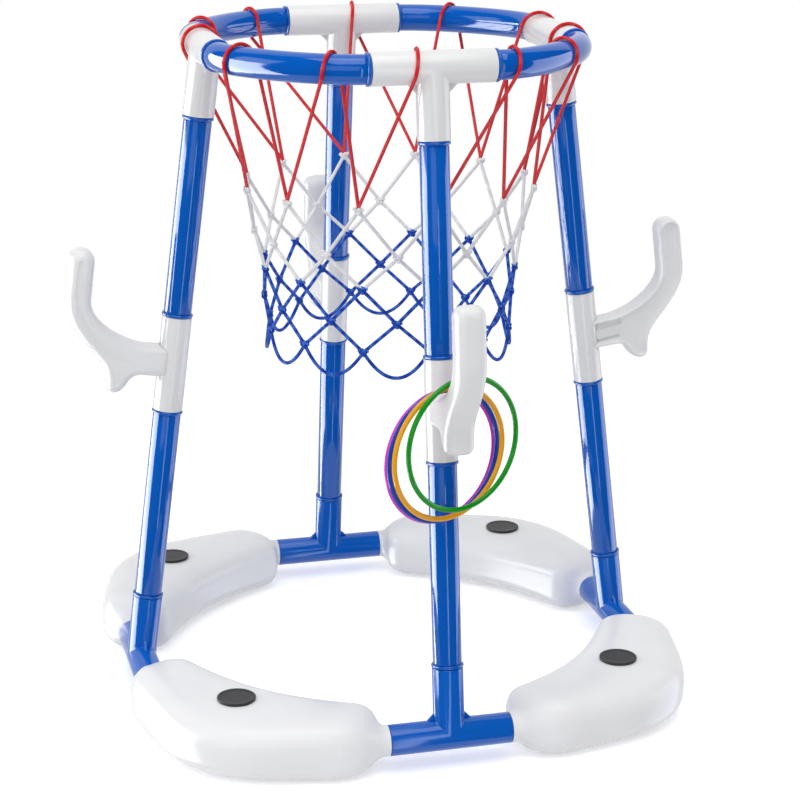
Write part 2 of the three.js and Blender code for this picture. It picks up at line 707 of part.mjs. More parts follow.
LEG_NAMES.forEach((side, i) => {
  const bearing = new THREE.Group();
  bearing.rotation.z = i * QUARTER;
  const leg = new THREE.Group();
  leg.position.copy(LEG_MIDDLE);
  leg.rotation.x = -LEAN;
  const rimTee = piece(`rim_tee_${side}`, toGeometry(teeSolid(RIM_TEE, false)), PLASTIC.white);
  rimTee.position.z = halfLeg;
  const baseTee = piece(`base_tee_${side}`, toGeometry(teeSolid(BASE_TEE, true)), PLASTIC.blue);
  baseTee.position.z = -halfLeg;
  leg.add(
    rimTee,
    piece(`leg_upper_${side}`, legTube(sleeveEnd, upperTop), PLASTIC.blue),
    piece(`hook_sleeve_${side}`, sleeveGeometry(), PLASTIC.white),
    piece(`hook_${side}`, hookGeometry(), PLASTIC.white),
    piece(`leg_lower_${side}`, legTube(lowerBottom, -sleeveEnd), PLASTIC.blue),
    baseTee,
  );
  bearing.add(leg);
  hoop.add(bearing);
});

BAY_NAMES.forEach((bay, i) => {
  const bearing = new THREE.Group();
  bearing.rotation.z = i * QUARTER;
  const rimTube = piece(`rim_tube_${bay}`, rimTubeGeometry(), PLASTIC.blue);
  rimTube.position.z = RIM_AXIS;
  const float = piece(`float_${bay}`, floatGeometry(), PLASTIC.white);
  float.position.z = BASE_AXIS;
  const cap = piece(`float_cap_${bay}`, capGeometry(), PLASTIC.grey);
  cap.position.z = BASE_AXIS;
  bearing.add(rimTube, float, cap);
  hoop.add(bearing);
});

const net = netParts();
hoop.add(
  piece('net_red', toGeometry(net.net_red), PLASTIC.redCord),
  piece('net_white', toGeometry(net.net_white), PLASTIC.whiteCord),
  piece('net_blue', toGeometry(net.net_blue), PLASTIC.blueCord),
  ...TOSS_RINGS.map(tossRing),
);

export default hoop;
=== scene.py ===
# Poolside basketball hoop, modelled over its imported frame.
# Metres, +Z up, the origin on the ground in the middle of the four legs.

import math
import bpy
from mathutils import Matrix, Vector


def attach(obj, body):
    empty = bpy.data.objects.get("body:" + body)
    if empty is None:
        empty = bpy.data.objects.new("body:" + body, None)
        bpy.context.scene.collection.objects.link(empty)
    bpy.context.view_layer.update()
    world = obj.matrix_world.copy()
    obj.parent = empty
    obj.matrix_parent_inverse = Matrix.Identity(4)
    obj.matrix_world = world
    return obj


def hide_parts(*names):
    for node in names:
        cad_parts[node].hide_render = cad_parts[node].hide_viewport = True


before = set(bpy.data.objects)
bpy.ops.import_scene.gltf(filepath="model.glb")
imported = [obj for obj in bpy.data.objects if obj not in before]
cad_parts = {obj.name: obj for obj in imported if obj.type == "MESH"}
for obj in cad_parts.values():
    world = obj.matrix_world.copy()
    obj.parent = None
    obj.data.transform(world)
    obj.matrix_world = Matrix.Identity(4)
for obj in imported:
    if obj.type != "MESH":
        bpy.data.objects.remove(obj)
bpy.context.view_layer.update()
bpy.ops.object.select_all(action="DESELECT")
scene = bpy.context.scene
scene.view_settings.view_transform = "Standard"
mm = 0.001

# Camera: a little over two metres away, left of the front leg and above the rim.
# Its lens and its slight lean to the side follow the perspective of the photograph.
lens = bpy.data.cameras.new("camera")
lens.sensor_width = 36
lens.lens = 98.8
lens.clip_end = 60
camera = bpy.data.objects.new("camera", lens)
scene.collection.objects.link(camera)
backward = Vector((-0.24606, -0.92423, 0.29200)).normalized()
rightward = Vector((0, 0, 1)).cross(backward).normalized()
aim = Matrix((rightward, backward.cross(rightward), backward)).transposed()
lean_aside = Matrix.Rotation(math.radians(0.268), 3, backward)
camera.matrix_world = Matrix.Translation((-0.5030, -1.9537, 0.8841)) @ (lean_aside @ aim).to_4x4()
scene.camera = camera


# Studio: a white sweep under and behind the stand, with soft boxes overhead, in front and on the left.
# Curved boards that show in reflections only draw the long highlights on the glossy tubes.
class Shade:
    """A socket of a material's nodes. Arithmetic on it adds Math nodes."""

    def __init__(self, tree, socket=None):
        self.tree = tree
        self.socket = socket

    def node(self, kind, inputs=(), output=0, **settings):
        made = self.tree.nodes.new(kind)
        for name, value in settings.items():
            setattr(made, name, value)
        for name, value in dict(inputs).items():
            if isinstance(value, Shade):
                self.tree.links.new(value.socket, made.inputs[name])
            else:
                made.inputs[name].default_value = value
        return Shade(self.tree, made.outputs[output] if made.outputs else None)

    def arithmetic(self, operation, first, second):
        return self.node("ShaderNodeMath", {0: first, 1: second}, operation=operation)

    def __add__(self, other):
        return self.arithmetic("ADD", self, other)

    def __radd__(self, other):
        return self.arithmetic("ADD", other, self)

    def __sub__(self, other):
        return self.arithmetic("SUBTRACT", self, other)

    def __rsub__(self, other):
        return self.arithmetic("SUBTRACT", other, self)

    def __mul__(self, other):
        return self.arithmetic("MULTIPLY", self, other)

    def __rmul__(self, other):
        return self.arithmetic("MULTIPLY", other, self)


def new_tree(owner):
    owner.use_nodes = True
    owner.node_tree.nodes.clear()
    return Shade(owner.node_tree)


def background_rays(tree):
    kinds = ("Camera", "Glossy", "Transmission")
    seen = [tree.node("ShaderNodeLightPath", output=f"Is {kind} Ray") for kind in kinds]
    return tree.node("ShaderNodeMath", {0: seen[0] + seen[1] + seen[2], 1: 1.0}, operation="MINIMUM")


room = bpy.data.worlds.new("studio")
scene.world = room
air = new_tree(room)
fill = air.node("ShaderNodeBackground", {"Color": (0.97, 0.98, 1, 1), "Strength": 0.5})
white = air.node("ShaderNodeBackground", {"Color": (1, 1, 1, 1), "Strength": 1.0})
mixed = air.node("ShaderNodeMixShader", {0: background_rays(air), 1: fill, 2: white})
air.node("ShaderNodeOutputWorld", {"Surface": mixed})

FLOOR_SIZE = 30
FLOOR_DROP = 0.2 * mm
FADE_START, FADE_END = 0.45, 1.6
bpy.ops.mesh.primitive_plane_add(size=FLOOR_SIZE, location=(0, 0, -FLOOR_DROP))
floor = bpy.context.object
floor.name = "studio_floor"
sweep = bpy.data.materials.new("white_sweep")
paper = new_tree(sweep)
matt = paper.node("ShaderNodeBsdfDiffuse", {"Color": (0.9, 0.9, 0.92, 1)})
lift = paper.node("ShaderNodeEmission", {"Color": (1, 1, 1, 1), "Strength": background_rays(paper) * 0.42})
near = paper.node("ShaderNodeAddShader", {0: matt, 1: lift})
far = paper.node("ShaderNodeEmission", {"Color": (1, 1, 1, 1), "Strength": 1.0})
spot = paper.node("ShaderNodeTexCoord", output="Object")
from_middle = paper.node("ShaderNodeVectorMath", {0: spot}, output=1, operation="LENGTH")
fading = paper.node("ShaderNodeMapRange", {"Value": from_middle, "From Min": FADE_START, "From Max": FADE_END})
sheet = paper.node("ShaderNodeMixShader", {0: fading * background_rays(paper), 1: near, 2: far})
paper.node("ShaderNodeOutputMaterial", {"Surface": sheet})
floor.data.materials.append(sweep)
floor.visible_glossy = False

# The bearing of the camera's side, in degrees, and what the lamps face
FACING = -104.9
LIGHT_AIM = Vector((0, 0, 0.3))


def soft_box(name, bearing, distance, height, width, tall, power):
    """A lamp that faces the stand. Its bearing is in degrees from the camera's side."""
    light = bpy.data.lights.new(name, "AREA")
    light.shape = "RECTANGLE"
    light.size, light.size_y = width, tall
    light.energy = power
    box = bpy.data.objects.new(name, light)
    scene.collection.objects.link(box)
    turn = math.radians(FACING + bearing)
    box.location = (distance * math.cos(turn), distance * math.sin(turn), height)
    box.rotation_euler = (LIGHT_AIM - box.location).to_track_quat("-Z", "Y").to_euler()
    box.visible_camera = False


def only(piece):
    bpy.ops.object.select_all(action="DESELECT")
    piece.select_set(True)
    bpy.context.view_layer.objects.active = piece


def faces_where(piece, wanted):
    """Selects a piece's faces by their middle and normal, and leaves it in edit mode."""
    only(piece)
    bpy.ops.object.mode_set(mode="EDIT")
    bpy.ops.mesh.select_mode(type="FACE")
    bpy.ops.mesh.select_all(action="DESELECT")
    bpy.ops.object.mode_set(mode="OBJECT")
    for face in piece.data.polygons:
        face.select = wanted(face)
    bpy.ops.object.mode_set(mode="EDIT")


BOARD_STEPS = 180


def board(name, bearings, distance, low, high, colour, strength):
    """A curved board that shows in reflections only, between two bearings from the camera's side."""
    first, last = bearings
    bpy.ops.mesh.primitive_cylinder_add(
        vertices=BOARD_STEPS, radius=distance, depth=high - low, end_fill_type="NOTHING",
        location=(0, 0, (low + high) / 2))
    made = bpy.context.object
    made.name = name

    def outside(face):
        bearing = (math.degrees(math.atan2(face.center.y, face.center.x)) - FACING + 180) % 360 - 180
        return not first < bearing < last

    faces_where(made, outside)
    bpy.ops.mesh.delete(type="FACE")
    bpy.ops.mesh.select_mode(type="VERT")
    bpy.ops.object.mode_set(mode="OBJECT")
    cloth = bpy.data.materials.new(name)
    weave = new_tree(cloth)
    glow = weave.node("ShaderNodeEmission", {"Color": (*colour, 1), "Strength": strength})
    weave.node("ShaderNodeOutputMaterial", {"Surface": glow})
    cloth.cycles.emission_sampling = "NONE"
    made.data.materials.append(cloth)
    made.visible_camera = made.visible_diffuse = False
    made.visible_transmission = made.visible_shadow = False


soft_box("overhead", bearing=10, distance=0.9, height=3.2, width=2.6, tall=2.6, power=52)
soft_box("front_fill", bearing=-10, distance=3.6, height=1.6, width=2.4, tall=2.0, power=15)
soft_box("left_side", bearing=-75, distance=3.0, height=1.5, width=1.4, tall=2.4, power=22)
board("dark_flag", (-122, 126), distance=6.0, low=-5.0, high=24.0, colour=(0.5, 0.6, 1), strength=0.06)
board("white_board", (-120, -66), distance=3.0, low=-2.6, high=1.3, colour=(0.93, 0.96, 1), strength=14.0)
board("thin_board", (13, 20), distance=3.2, low=-2.8, high=1.3, colour=(0.85, 0.9, 1), strength=4.0)
board("right_board", (80, 124), distance=3.0, low=-2.6, high=1.3, colour=(0.8, 0.82, 1), strength=3.8)

# Base tees: blue moulded fittings at the foot of each leg, with a web in each inner corner.
# A leg tube plugs into the stem, and a float plugs into each arm.
LEG_LENGTH = 588 * mm
RIM_RADIUS = 165 * mm
BASE_RADIUS = 240 * mm
BASE_AXIS = 28 * mm
LEAN = math.asin((BASE_RADIUS - RIM_RADIUS) / LEG_LENGTH)
RIM_AXIS = BASE_AXIS + LEG_LENGTH * math.cos(LEAN)
LEG_MIDDLE = Vector((0, -(RIM_RADIUS + BASE_RADIUS) / 2, (BASE_AXIS + RIM_AXIS) / 2))
SOCKET_RADIUS = 11.5 * mm
BASE_TEE_RADIUS, BASE_TEE_ARM, BASE_TEE_STEM = 14 * mm, 56 * mm, 62.5 * mm
ROUND_SIDES = 64
WELD = 0.002 * mm
WEB_THICKNESS = 3 * mm
WEB_OVERLAP = 2.6 * mm
MOUTH_ROUNDING, WEB_ROUNDING = 0.7 * mm, 0.5 * mm
SIDES = ("front", "right", "back", "left")


def settle(piece):
    only(piece)
    bpy.ops.object.transform_apply(location=True, rotation=True, scale=True)


def modified(piece, kind, **settings):
    only(piece)
    modifier = piece.modifiers.new(kind.title(), kind)
    for name, value in settings.items():
        setattr(modifier, name, value)
    bpy.ops.object.modifier_apply(modifier=modifier.name)
    return piece


def joined(*pieces):
    only(pieces[0])
    for piece in pieces:
        piece.select_set(True)
    bpy.ops.object.join()
    return bpy.context.object


def closed_up(piece, outwards=True):
    only(piece)
    bpy.ops.object.mode_set(mode="EDIT")
    bpy.ops.mesh.select_all(action="SELECT")
    bpy.ops.mesh.remove_doubles(threshold=WELD)
    if outwards:
        bpy.ops.mesh.normals_make_consistent(inside=False)
    bpy.ops.object.mode_set(mode="OBJECT")
    return piece


def smooth(piece, degrees):
    only(piece)
    bpy.ops.object.shade_smooth_by_angle(angle=math.radians(degrees))
    return piece


def pipe(name, radius, start, end, along):
    turn = {"x": (0, math.pi / 2, 0), "z": (0, 0, 0)}[along]
    middle = (start + end) / 2
    place = (middle, 0, 0) if along == "x" else (0, 0, middle)
    bpy.ops.mesh.primitive_cylinder_add(
        vertices=ROUND_SIDES, radius=radius, depth=end - start, end_fill_type="NOTHING",
        location=place, rotation=turn)
    made = bpy.context.object
    made.name = name
    settle(made)
    return made


def cut_off(piece, normal, keep_front):
    only(piece)
    bpy.ops.object.mode_set(mode="EDIT")
    bpy.ops.mesh.select_all(action="SELECT")
    bpy.ops.mesh.bisect(
        plane_co=(0, 0, 0), plane_no=normal, clear_inner=keep_front, clear_outer=not keep_front)
    bpy.ops.object.mode_set(mode="OBJECT")


def tee(name, radius, arm, stem, web):
    """Half of the fitting is cut along the line where its round arm and stem meet, then mirrored."""
    half_arm = pipe(name, radius, 0, arm, "x")
    cut_off(half_arm, (1, 0, 1), True)
    half_stem = pipe(name + "_stem", radius, -stem, 2 * radius, "z")
    cut_off(half_stem, (1, 0, 1), False)
    cut_off(half_stem, (1, 0, 0), True)
    body = closed_up(joined(half_arm, half_stem))
    modified(body, "MIRROR", merge_threshold=WELD)
    closed_up(body)
    modified(body, "SOLIDIFY", thickness=radius - SOCKET_RADIUS, offset=-1, use_even_offset=True)
    sharp = {"limit_method": "ANGLE", "angle_limit": math.radians(40)}
    modified(body, "BEVEL", width=MOUTH_ROUNDING, segments=3, **sharp)
    webs = []
    for side in (-1, 1):
        bpy.ops.mesh.primitive_cylinder_add(
            vertices=3, radius=1, depth=WEB_THICKNESS, rotation=(math.pi / 2, 0, 0))
        plate = bpy.context.object
        settle(plate)
        inner, outer = radius - WEB_OVERLAP, radius + web + WEB_OVERLAP
        corners = [(side * inner, -inner), (side * outer, -inner), (side * inner, -outer)]
        for i, point in enumerate(plate.data.vertices):
            x, z = corners[i // 2]
            point.co = (x, point.co.y, z)
        closed_up(plate)
        modified(plate, "BEVEL", width=WEB_ROUNDING, segments=2, **sharp)
        webs.append(plate)
    return smooth(joined(body, *webs), 40)


def leg_frame(place):
    upright = Matrix.Translation(LEG_MIDDLE) @ Matrix.Rotation(-LEAN, 4, "X")
    return Matrix.Rotation(place * math.pi / 2, 4, "Z") @ upright


def fitted(pattern, name, where, node, material, body="root"):
    """A copy of a modelled piece in its place on the stand, standing for a node of the frame."""
    piece = bpy.data.objects.new(name, pattern.data.copy())
    scene.collection.objects.link(piece)
    piece.matrix_world = where
    settle(piece)
    piece.data.materials.clear()
    piece.data.materials.append(material)
    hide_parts(node)
    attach(piece, body)
    return piece


def blended(tree, factor, first, second):
    return tree.node("ShaderNodeMix", {"Factor": factor, "A": first, "B": second}, output=2, data_type="RGBA")


def plastic(name, colour, roughness, along=False, specular=0.5, grain=0.02, streak=900.0):
    """Moulded or drawn plastic: a faint change of tone, and a fine skin in the gloss."""
    material = bpy.data.materials.new(name)
    tree = new_tree(material)
    if along:
        place = tree.node("ShaderNodeAttribute", output="Vector", attribute_name="own_place")
        place = tree.node("ShaderNodeMapping", {"Vector": place, "Scale": (1, 1, 0.02)})
    else:
        place = tree.node("ShaderNodeTexCoord", output="Object")
    cloud = tree.node("ShaderNodeTexNoise", {"Vector": place, "Scale": 30.0, "Detail": 3.0})
    skin = tree.node("ShaderNodeTexNoise", {"Vector": place, "Scale": streak, "Detail": 2.0})
    dark = tuple(c * 0.93 for c in colour)
    tone = blended(tree, cloud, (*dark, 1), (*colour, 1))
    bump = tree.node("ShaderNodeBump", {"Strength": grain, "Distance": 0.2 * mm, "Height": skin})
    shader = tree.node("ShaderNodeBsdfPrincipled", {
        "Base Color": tone,
        "Roughness": roughness + (skin - 0.5) * 0.08 + (cloud - 0.5) * 0.06,
        "Specular IOR Level": specular,
        "Normal": bump,
    })
    tree.node("ShaderNodeOutputMaterial", {"Surface": shader})
    return material


moulded_blue = plastic("moulded_blue", (0.0006, 0.11, 0.52), 0.14)
base_tee = tee("base_tee", BASE_TEE_RADIUS, BASE_TEE_ARM, BASE_TEE_STEM, web=6.4 * mm)
base_tee.data.transform(Matrix.Rotation(math.pi, 4, "X"))
for i, side in enumerate(SIDES):
    foot = leg_frame(i) @ Matrix.Translation((0, 0, -LEG_LENGTH / 2))
    fitted(base_tee, f"foot_tee_{side}", foot, f"base_tee_{side}", moulded_blue)
bpy.data.objects.remove(base_tee)

# Floats: four hollow blow-moulded feet in glossy white plastic, filled with water through a round hole.
# Each swells from a round neck at one tee, bends through a quarter turn and narrows to the next.
BAYS = ("front_right", "back_right", "back_left", "front_left")
FIT_GAP = 0.3 * mm
FLOAT_TIP, FLOAT_HANDLE = BASE_TEE_ARM + FIT_GAP, 44 * mm
FLOAT_END_WIDTH, FLOAT_MIDDLE_WIDTH = 69 * mm, 111 * mm
FLOAT_BULGE = 27 * mm
FLOAT_WALL = 2 * mm
SQUARENESS = 0.55
CAP_REACH = 255.5 * mm * math.sqrt(0.5)
FILL_HOLE_RADIUS = 11.3 * mm
FILL_CUT_DEPTH, FILL_CUT_HEIGHT = 30 * mm, 30 * mm
ROUTE_STEPS = 400
FLOAT_SIDES, FLANK_STEPS = 72, 32


def bay_frame(place, height):
    return Matrix.Rotation(place * math.pi / 2, 4, "Z") @ Matrix.Translation((0, 0, height))


def bay_point(radius, tip, handle, t):
    ends = [Vector((tip, -radius, 0)), Vector((tip + handle, -radius, 0)),
            Vector((radius, -tip - handle, 0)), Vector((radius, -tip, 0))]
    weights = [(1 - t) ** 3, 3 * t * (1 - t) ** 2, 3 * t * t * (1 - t), t ** 3]
    return sum((w * p for w, p in zip(weights, ends)), Vector())


def route(radius, tip, handle):
    """Evenly spaced points of a bay's curve, with the direction outwards at each, and its length."""
    fine = [bay_point(radius, tip, handle, i / ROUTE_STEPS) for i in range(ROUTE_STEPS + 1)]
    run = [0.0]
    for a, b in zip(fine, fine[1:]):
        run.append(run[-1] + (b - a).length)

    def at(share):
        wanted = min(max(share, 0), 1) * run[-1]
        i = max(next((k for k, r in enumerate(run) if r >= wanted), ROUTE_STEPS), 1)
        point = fine[i - 1].lerp(fine[i], (wanted - run[i - 1]) / (run[i] - run[i - 1]))
        heading = (fine[min(i + 1, ROUTE_STEPS)] - fine[max(i - 2, 0)]).normalized()
        return point, Vector((heading.y, -heading.x, 0))

    return at, run[-1]


def float_section(spine, along, fullness, sides):
    """A section of the body: round at the neck, and a rounded square where the body is full."""
    point, outwards = spine(along)
    swell = math.sin(math.pi * along) ** 2
    neck = BASE_TEE_RADIUS
    full_width = (FLOAT_END_WIDTH + (FLOAT_MIDDLE_WIDTH - FLOAT_END_WIDTH) * swell) / 2
    width = neck + (full_width - neck) * fullness
    height = neck + (BASE_AXIS - neck) * fullness
    power = 1 / (1 + SQUARENESS * fullness)
    centre = point + outwards * FLOAT_BULGE * swell * fullness
    ring = []
    for k in range(sides):
        turn = 2 * math.pi * k / sides
        across, up = math.cos(turn), math.sin(turn)
        across = math.copysign(abs(across) ** power, across) * width
        up = math.copysign(abs(up) ** power, up) * height
        ring.append(centre + outwards * across + Vector((0, 0, up)))
    return ring


def skinned(name, rings):
    """A round edge is extruded from section to section, and each new section is given its form."""
    sides = len(rings[0])
    bpy.ops.mesh.primitive_circle_add(vertices=sides, radius=1 * mm)
    piece = bpy.context.object
    piece.name = name
    bpy.ops.object.mode_set(mode="EDIT")
    bpy.ops.mesh.select_all(action="SELECT")
    for step in range(1, len(rings)):
        bpy.ops.mesh.extrude_edges_move(TRANSFORM_OT_translate={"value": (0, 0, step * mm)})
    bpy.ops.object.mode_set(mode="OBJECT")
    levels = sorted({round(v.co.z / mm, 3) for v in piece.data.vertices})
    for v in piece.data.vertices:
        ring = rings[levels.index(round(v.co.z / mm, 3))]
        turn = math.atan2(v.co.y, v.co.x) % (2 * math.pi)
        v.co = ring[round(turn * sides / (2 * math.pi)) % sides]
    return piece


def filled_ends(piece):
    only(piece)
    bpy.ops.object.mode_set(mode="EDIT")
    bpy.ops.mesh.select_mode(type="EDGE")
    bpy.ops.mesh.select_all(action="DESELECT")
    bpy.ops.mesh.select_non_manifold()
    bpy.ops.mesh.fill_holes(sides=0)
    bpy.ops.mesh.select_mode(type="VERT")
    bpy.ops.object.mode_set(mode="OBJECT")
    return closed_up(piece)


def cut_away(piece, tool):
    modified(piece, "BOOLEAN", operation="DIFFERENCE", object=tool, solver="EXACT")
    bpy.data.objects.remove(tool)


# How full the section is at each distance in millimetres from the body's end
END_CURVE = ((0, 0), (3, 0), (5, 0.03), (7, 0.09), (9, 0.18), (11, 0.3), (13, 0.44), (15.5, 0.58), (18, 0.69),
             (21, 0.79), (25, 0.885), (29, 0.95), (33, 0.985), (38, 1))
spine, spine_length = route(BASE_RADIUS, FLOAT_TIP, FLOAT_HANDLE)
near_end = [(distance * mm / spine_length, fullness) for distance, fullness in END_CURVE]
start = near_end[-1][0]
flank = [(start + (1 - 2 * start) * k / FLANK_STEPS, 1.0) for k in range(1, FLANK_STEPS)]
stations = near_end + flank + [(1 - share, fullness) for share, fullness in reversed(near_end)]
float_body = skinned("float_body", [float_section(spine, s, f, FLOAT_SIDES) for s, f in stations])
filled_ends(float_body)
modified(float_body, "SOLIDIFY", thickness=FLOAT_WALL, offset=-1)
bpy.ops.mesh.primitive_cylinder_add(
    vertices=ROUND_SIDES, radius=FILL_HOLE_RADIUS, depth=FILL_CUT_DEPTH,
    location=(CAP_REACH, -CAP_REACH, FILL_CUT_HEIGHT))
fill_hole = bpy.context.object
settle(fill_hole)
cut_away(float_body, fill_hole)
smooth(float_body, 40)
white_skin = plastic(
    "white_blow_moulding", (0.87, 0.87, 0.87), 0.24, specular=0.2, grain=0.0, streak=400.0)
for i, bay in enumerate(BAYS):
    where = bay_frame(i, BASE_AXIS)
    fitted(float_body, f"float_body_{bay}", where, f"float_{bay}", white_skin)
bpy.data.objects.remove(float_body)

# Fill caps: dark grey rubbery discs, each moulded in one with the plug that seals its float.
# The flange lies on top of the float, over the outer side of the bend.
CAP_SEAT = 2 * BASE_AXIS + FIT_GAP


def turned(name, profile):
    """A circle is extruded and scaled from each point of the profile to the next."""
    radius, height = profile[0]
    bpy.ops.mesh.primitive_circle_add(vertices=ROUND_SIDES, radius=radius, location=(0, 0, height))
    piece = bpy.context.object
    piece.name = name
    settle(piece)
    bpy.ops.object.mode_set(mode="EDIT")
    bpy.ops.mesh.select_all(action="SELECT")
    for (r0, z0), (r1, z1) in zip(profile, profile[1:]):
        bpy.ops.mesh.extrude_edges_move(TRANSFORM_OT_translate={"value": (0, 0, z1 - z0)})
        bpy.ops.transform.resize(value=(r1 / r0, r1 / r0, 1), center_override=(0, 0, z1))
    bpy.ops.object.mode_set(mode="OBJECT")
    return piece


def rounded(radius, centre, first, last, steps):
    angles = [math.radians(first + (last - first) * k / steps) for k in range(steps + 1)]
    return [(centre[0] + radius * math.cos(a), centre[1] + radius * math.sin(a)) for a in angles]


flange, plug, plug_length = 17.5 * mm, 11 * mm, 11 * mm
cap_profile = [
    (plug * 0.6, -plug_length),
    *rounded(1 * mm, (plug - 1 * mm, 1 * mm - plug_length), -90, 0, 4),
    (plug, 0),
    (flange - 0.4 * mm, 0),
    *rounded(0.9 * mm, (flange - 0.9 * mm, 1.5 * mm), 0, 90, 6),
    (flange - 2.2 * mm, 2.38 * mm),
    (flange - 2.8 * mm, 2.1 * mm),
    (flange - 6 * mm, 2.02 * mm),
    (2 * mm, 2.0 * mm),
]
cap = filled_ends(turned("cap", cap_profile))
smooth(cap, 40)
rubber = plastic("grey_rubber", (0.03, 0.03, 0.031), 0.5, specular=0.3, grain=0.1, streak=2600.0)
for i, bay in enumerate(BAYS):
    seat = bay_frame(i, 0) @ Matrix.Translation((CAP_REACH, -CAP_REACH, CAP_SEAT))
    fitted(cap, f"fill_cap_{bay}", seat, f"float_cap_{bay}", rubber, f"cap_{bay}")
bpy.data.objects.remove(cap)

# Leg tubes: blue drawn plastic tube with a rolled bead at each end, where it meets its fitting.
# Beyond the bead the tube is drawn down to a spigot that is pushed into the socket.
TUBE_RADIUS, SPIGOT_RADIUS, BORE_RADIUS = 13 * mm, 11.2 * mm, 9.4 * mm
SPIGOT_LENGTH = 20 * mm
SPIGOT_BEVEL = 0.6 * mm
BEAD = 1.5 * mm
SLEEVE_HALF = 45 * mm
RIM_TEE_STEM = 62 * mm


def remember_place(piece):
    """Keeps each point's place in the piece's own frame, for patterns that run along it."""
    mesh = piece.data
    places = [0.0] * (3 * len(mesh.vertices))
    mesh.vertices.foreach_get("co", places)
    own = mesh.attributes.new("own_place", "FLOAT_VECTOR", "POINT")
    own.data.foreach_set("vector", places)
    return piece


def tube_profile(bottom, top):
    """Bore, spigot, bead and the small groove beside it at the lower end, then the same at the upper."""
    tip, above_bead = bottom - SPIGOT_LENGTH, bottom + 2 * BEAD
    end = [
        (BORE_RADIUS, tip),
        (SPIGOT_RADIUS - SPIGOT_BEVEL, tip),
        (SPIGOT_RADIUS, tip + SPIGOT_BEVEL),
        (SPIGOT_RADIUS, bottom),
        *rounded(BEAD, (TUBE_RADIUS + 0.1 * mm, bottom + BEAD), -90, 115, 10),
        (TUBE_RADIUS - 0.5 * mm, above_bead + 0.15 * mm),
        (TUBE_RADIUS - 0.4 * mm, above_bead + 0.6 * mm),
        (TUBE_RADIUS, above_bead + 1.3 * mm),
    ]
    far_end = [(radius, top + bottom - height) for radius, height in reversed(end)]
    return end + far_end + end[:1]


def leg_tube(name, bottom, top):
    return smooth(remember_place(closed_up(turned(name, tube_profile(bottom, top)))), 50)


drawn_blue = plastic("drawn_blue", (0.0005, 0.1, 0.48), 0.1, along=True)
half_leg = LEG_LENGTH / 2
lower_tube = leg_tube("lower_tube", BASE_TEE_STEM + FIT_GAP - half_leg, -SLEEVE_HALF - FIT_GAP)
upper_tube = leg_tube("upper_tube", SLEEVE_HALF + FIT_GAP, half_leg - RIM_TEE_STEM - FIT_GAP)
for i, side in enumerate(SIDES):
    fitted(lower_tube, f"lower_tube_{side}", leg_frame(i), f"leg_lower_{side}", drawn_blue)
    fitted(upper_tube, f"upper_tube_{side}", leg_frame(i), f"leg_upper_{side}", drawn_blue)
bpy.data.objects.remove(lower_tube)
bpy.data.objects.remove(upper_tube)

# Sleeves: plain white moulded sockets that join the two tubes of a leg and carry its hook.
# The mouths have a small round edge, and the leg tubes' beads butt on them.
SLEEVE_RADIUS = 13.9 * mm
SLEEVE_ROUNDING = 0.6 * mm
mouth = rounded(SLEEVE_ROUNDING, (SLEEVE_RADIUS - SLEEVE_ROUNDING, SLEEVE_HALF - SLEEVE_ROUNDING), 0, 90, 4)
low_mouth = [(radius, -height) for radius, height in reversed(mouth)]
sleeve_profile = [(SOCKET_RADIUS, -SLEEVE_HALF), *low_mouth, *mouth, (SOCKET_RADIUS, SLEEVE_HALF)]
sleeve = smooth(closed_up(turned("sleeve", sleeve_profile + sleeve_profile[:1])), 50)
moulded_white = plastic("moulded_white", (0.78, 0.78, 0.775), 0.2, specular=0.4, grain=0.015, streak=700.0)
for i, side in enumerate(SIDES):
    fitted(sleeve, f"sleeve_{side}", leg_frame(i), f"hook_sleeve_{side}", moulded_white)
bpy.data.objects.remove(sleeve)

# Hooks: white moulded arms on the sleeves, turned up into a finger, with a stop below.
# The front one is closed and well rounded on both sides. The others are dished on one side, with two slots.
HOOK_WIDTH = 27 * mm
HOOK_SLAB = 2 * mm
CLOSED_SLAB = 10 * mm
CREASE_RADIUS = 2.2 * mm
CREASE_RISE = 1.1 * mm
outline = bpy.data.curves.new("hook_outline", "CURVE")
outline.dimensions = "2D"
outline.fill_mode = "BOTH"
outline.resolution_u = 10
# Each point of the outline with the ends of its handles, in millimetres out from the leg and up
outline_points = [
    ((3, -13), (3, -5), (12, -13)),
    ((29, -13), (20, -13), (34, -13)),
    ((41, -21.5), (38, -15.5), (43.8, -27.2)),
    ((53, -31), (48, -31), (57.7, -31)),
    ((61.5, -22.5), (61.5, -27.2), (61.5, -19)),
    ((66, -4.5), (62.5, -10), (75, 9)),
    ((104.7, 55), (104.7, 28), (104.7, 67)),
    ((104.7, 90.65), (104.7, 80), (104.7, 97.2)),
    ((92.85, 102.5), (99.4, 102.5), (86.3, 102.5)),
    ((81, 90.65), (81, 97.2), (81, 80)),
    ((81, 55), (81, 67), (81, 38)),
    ((27.8, 16.5), (56, 20.5), (22, 16.5)),
    ((3, 16.5), (9, 16.5), (3, 9)),
]
spline = outline.splines.new("BEZIER")
spline.bezier_points.add(len(outline_points) - 1)
spline.use_cyclic_u = True
for i, (point, (place, before, after)) in enumerate(zip(spline.bezier_points, outline_points)):
    point.co = (place[0] * mm, place[1] * mm, 0)
    point.handle_left = (before[0] * mm, before[1] * mm, 0)
    point.handle_right = (after[0] * mm, after[1] * mm, 0)
    if i == 0 or i == len(outline_points) - 1:
        point.handle_left_type = point.handle_right_type = "VECTOR"
hook = bpy.data.objects.new("hook", outline)
scene.collection.objects.link(hook)
only(hook)
bpy.ops.object.convert(target="MESH")
hook = bpy.context.object
bpy.ops.object.mode_set(mode="EDIT")
bpy.ops.mesh.select_all(action="SELECT")
bpy.ops.mesh.remove_doubles(threshold=0.01 * mm)
bpy.ops.mesh.dissolve_limited(angle_limit=math.radians(0.05))
